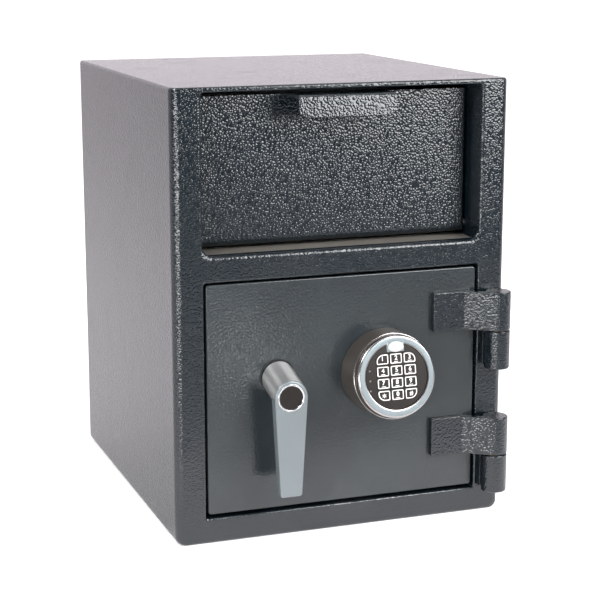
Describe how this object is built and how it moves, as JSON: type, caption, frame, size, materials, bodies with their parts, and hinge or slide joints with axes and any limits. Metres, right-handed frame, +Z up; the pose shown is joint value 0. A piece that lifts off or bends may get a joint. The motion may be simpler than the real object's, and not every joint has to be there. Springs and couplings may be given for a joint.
{
  "type": "drop safe with deposit hopper",
  "caption": "Floor-standing steel drop safe: a tilting deposit hopper above a hinged door with lever, bolts and a round keypad lock.",
  "frame": {"origin": "centre of the case's base, on the floor that it stands on", "axes": "+Z up, the front with the door and the hopper faces -Y, +X is to the viewer's right"},
  "size_m": [0.35, 0.4252, 0.45],
  "materials": {
    "hammertone_paint": "glossy graphite hammertone",
    "door_paint": "semi-gloss fine texture",
    "inner_paint": "satin",
    "satin_silver": "satin",
    "bright_steel": "turned",
    "zinc_plate": "zinc plated",
    "brass": "machined",
    "dark_plastic": "satin moulded",
    "housing_plastic": "smooth painted",
    "nylon": "moulded",
    "pearl": "glossy translucent",
    "black_rubber": "matt",
    "mat_felt": "needle felt"
  },
  "bodies": {
    "case": {"body_shell": "hammertone_paint", "back_panel": "hammertone_paint", "floor_mat": "mat_felt", "anchor_bolt_left": "zinc_plate", "anchor_bolt_right": "zinc_plate", "hopper_bush_left": "nylon", "hopper_bush_right": "nylon", "hopper_stop_left": "black_rubber", "hopper_stop_right": "black_rubber", "rear_baffle": "inner_paint", "hinge_knuckle_upper": "hammertone_paint", "hinge_knuckle_lower": "hammertone_paint", "hinge_pin_upper": "bright_steel", "hinge_pin_lower": "bright_steel", "hinge_washer_upper": "brass", "hinge_washer_lower": "brass"},
    "hopper": {"hopper_face": "hammertone_paint", "hopper_pull": "hammertone_paint", "hopper_tray": "inner_paint", "hopper_side_left": "inner_paint", "hopper_side_right": "inner_paint", "hopper_pin_left": "bright_steel", "hopper_pin_right": "bright_steel"},
    "door": {"door_plate": "door_paint", "door_pan": "inner_paint", "dead_bar": "bright_steel", "hinge_leaf_upper": "hammertone_paint", "hinge_leaf_lower": "hammertone_paint", "lever_bush": "nylon", "guide_stud_upper": "bright_steel", "guide_stud_lower": "bright_steel", "lock_case": "zinc_plate", "keypad_housing": "housing_plastic", "keypad_ring": "satin_silver", "keypad_face": "dark_plastic", "keypad_dome": "pearl", "lamp_light_guide": "pearl", "keypad_cable": "black_rubber"},
    "lever": {"lever": "satin_silver", "lever_plug": "dark_plastic", "lever_spindle": "bright_steel", "bolt_crank": "zinc_plate"},
    "boltwork": {"bolt_carriage": "zinc_plate", "locking_bolt_upper": "bright_steel", "locking_bolt_lower": "bright_steel"},
    "lock_bolt": {"lock_bolt": "brass"},
    "key_1": {"key_1": "dark_plastic"},
    "key_2": {"key_2": "dark_plastic"},
    "key_3": {"key_3": "dark_plastic"},
    "key_4": {"key_4": "dark_plastic"},
    "key_5": {"key_5": "dark_plastic"},
    "key_6": {"key_6": "dark_plastic"},
    "key_7": {"key_7": "dark_plastic"},
    "key_8": {"key_8": "dark_plastic"},
    "key_9": {"key_9": "dark_plastic"},
    "key_star": {"key_star": "dark_plastic"},
    "key_0": {"key_0": "dark_plastic"},
    "key_hash": {"key_hash": "dark_plastic"}
  },
  "joints": [
    {"name": "hopper_tilt", "type": "hinge", "parent": "case", "child": "hopper", "pos_m": [0, -0.151, 0.3005], "axis": [1, 0, 0], "range_deg": [0, 50]},
    {"name": "door_swing", "type": "hinge", "parent": "case", "child": "door", "pos_m": [0.1615, -0.2035, 0.13], "axis": [0, 0, 1], "range_deg": [0, 180]},
    {"name": "lever_turn", "type": "hinge", "parent": "door", "child": "lever", "pos_m": [-0.0704, -0.19, 0.1644], "axis": [0, 1, 0], "range_deg": [0, 60]},
    {"name": "bolt_throw", "type": "slide", "parent": "door", "child": "boltwork", "axis": [-1, 0, 0], "range_m": [0, 0.03]},
    {"name": "lock_bolt_slide", "type": "slide", "parent": "door", "child": "lock_bolt", "axis": [0, 0, 1], "range_m": [0, 0.01]},
    {"name": "key_1_press", "type": "slide", "parent": "door", "child": "key_1", "axis": [0, 0.9848, -0.1736], "range_m": [0, 0.001], "stiffness_N_per_m": 400},
    {"name": "key_2_press", "type": "slide", "parent": "door", "child": "key_2", "axis": [0, 0.9848, -0.1736], "range_m": [0, 0.001], "stiffness_N_per_m": 400},
    {"name": "key_3_press", "type": "slide", "parent": "door", "child": "key_3", "axis": [0, 0.9848, -0.1736], "range_m": [0, 0.001], "stiffness_N_per_m": 400},
    {"name": "key_4_press", "type": "slide", "parent": "door", "child": "key_4", "axis": [0, 0.9848, -0.1736], "range_m": [0, 0.001], "stiffness_N_per_m": 400},
    {"name": "key_5_press", "type": "slide", "parent": "door", "child": "key_5", "axis": [0, 0.9848, -0.1736], "range_m": [0, 0.001], "stiffness_N_per_m": 400},
    {"name": "key_6_press", "type": "slide", "parent": "door", "child": "key_6", "axis": [0, 0.9848, -0.1736], "range_m": [0, 0.001], "stiffness_N_per_m": 400},
    {"name": "key_7_press", "type": "slide", "parent": "door", "child": "key_7", "axis": [0, 0.9848, -0.1736], "range_m": [0, 0.001], "stiffness_N_per_m": 400},
    {"name": "key_8_press", "type": "slide", "parent": "door", "child": "key_8", "axis": [0, 0.9848, -0.1736], "range_m": [0, 0.001], "stiffness_N_per_m": 400},
    {"name": "key_9_press", "type": "slide", "parent": "door", "child": "key_9", "axis": [0, 0.9848, -0.1736], "range_m": [0, 0.001], "stiffness_N_per_m": 400},
    {"name": "key_star_press", "type": "slide", "parent": "door", "child": "key_star", "axis": [0, 0.9848, -0.1736], "range_m": [0, 0.001], "stiffness_N_per_m": 400},
    {"name": "key_0_press", "type": "slide", "parent": "door", "child": "key_0", "axis": [0, 0.9848, -0.1736], "range_m": [0, 0.001], "stiffness_N_per_m": 400},
    {"name": "key_hash_press", "type": "slide", "parent": "door", "child": "key_hash", "axis": [0, 0.9848, -0.1736], "range_m": [0, 0.001], "stiffness_N_per_m": 400}
  ],
  "couplings": [
    {"joint": "bolt_throw", "follows": "lever_turn", "m_per_rad": 0.028647},
    {"joint": "lock_bolt_slide", "follows": "lever_turn", "m_per_rad": 0.009549}
  ]
}
